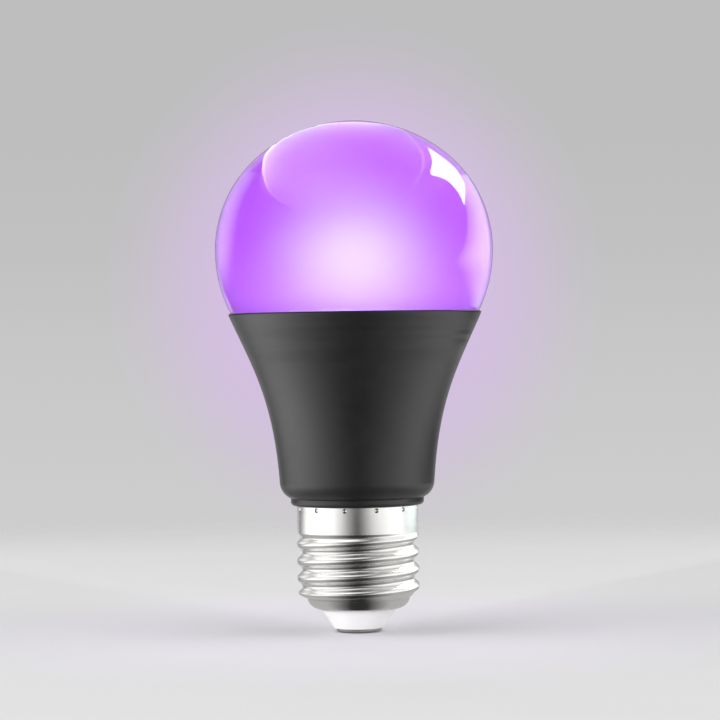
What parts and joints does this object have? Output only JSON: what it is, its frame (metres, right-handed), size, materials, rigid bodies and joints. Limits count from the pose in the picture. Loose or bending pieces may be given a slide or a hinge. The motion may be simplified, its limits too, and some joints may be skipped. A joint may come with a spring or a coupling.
{
  "type": "ultraviolet lamp bulb",
  "caption": "Ultraviolet lamp bulb with a purple light-passing globe, a flared black housing and a threaded metal screw cap with a white insulator and a centre contact.",
  "frame": {"origin": "centre of the flat end of the centre contact", "axes": "+Z along the lamp's axis from the contact to the top of the globe, +X to the right of the viewed side"},
  "size_m": [0.0595, 0.0596, 0.1094],
  "materials": {
    "tinted_globe": "glossy, light-passing purple tint",
    "black_housing": "satin black moulding",
    "nickel_plate": "bright nickel plate",
    "contact_nickel": "dull nickel plate",
    "white_insulator": "white moulding",
    "pressed_aluminium": "drawn sheet",
    "board_white": "white solder mask on an aluminium core",
    "chip_window": "lit chip",
    "socket_white": "white moulding",
    "pin_tin": "tinned",
    "board_green": "green solder mask",
    "can_sleeve": "dark shrink sleeve",
    "copper_winding": "enamelled copper",
    "resistor_body": "lacquered",
    "film_body": "dipped epoxy",
    "package_black": "moulded epoxy",
    "lead_red": "insulated wire",
    "lead_tin": "tinned wire"
  },
  "bodies": {
    "root": {"globe": "tinted_globe", "housing": "black_housing", "screw_shell": "nickel_plate", "centre_contact": "contact_nickel", "base_insulator": "white_insulator", "heat_sink_cup": "pressed_aluminium", "led_board": "board_white", "led_chips": "chip_window", "pin_socket": "socket_white", "output_pins": "pin_tin", "driver_board": "board_green", "electrolytic_capacitor": "can_sleeve", "choke_coil": "copper_winding", "fuse_resistor": "resistor_body", "film_capacitor": "film_body", "bridge_rectifier": "package_black", "driver_chip": "package_black", "live_lead": "lead_red", "neutral_lead": "lead_tin"}
  },
  "joints": []
}
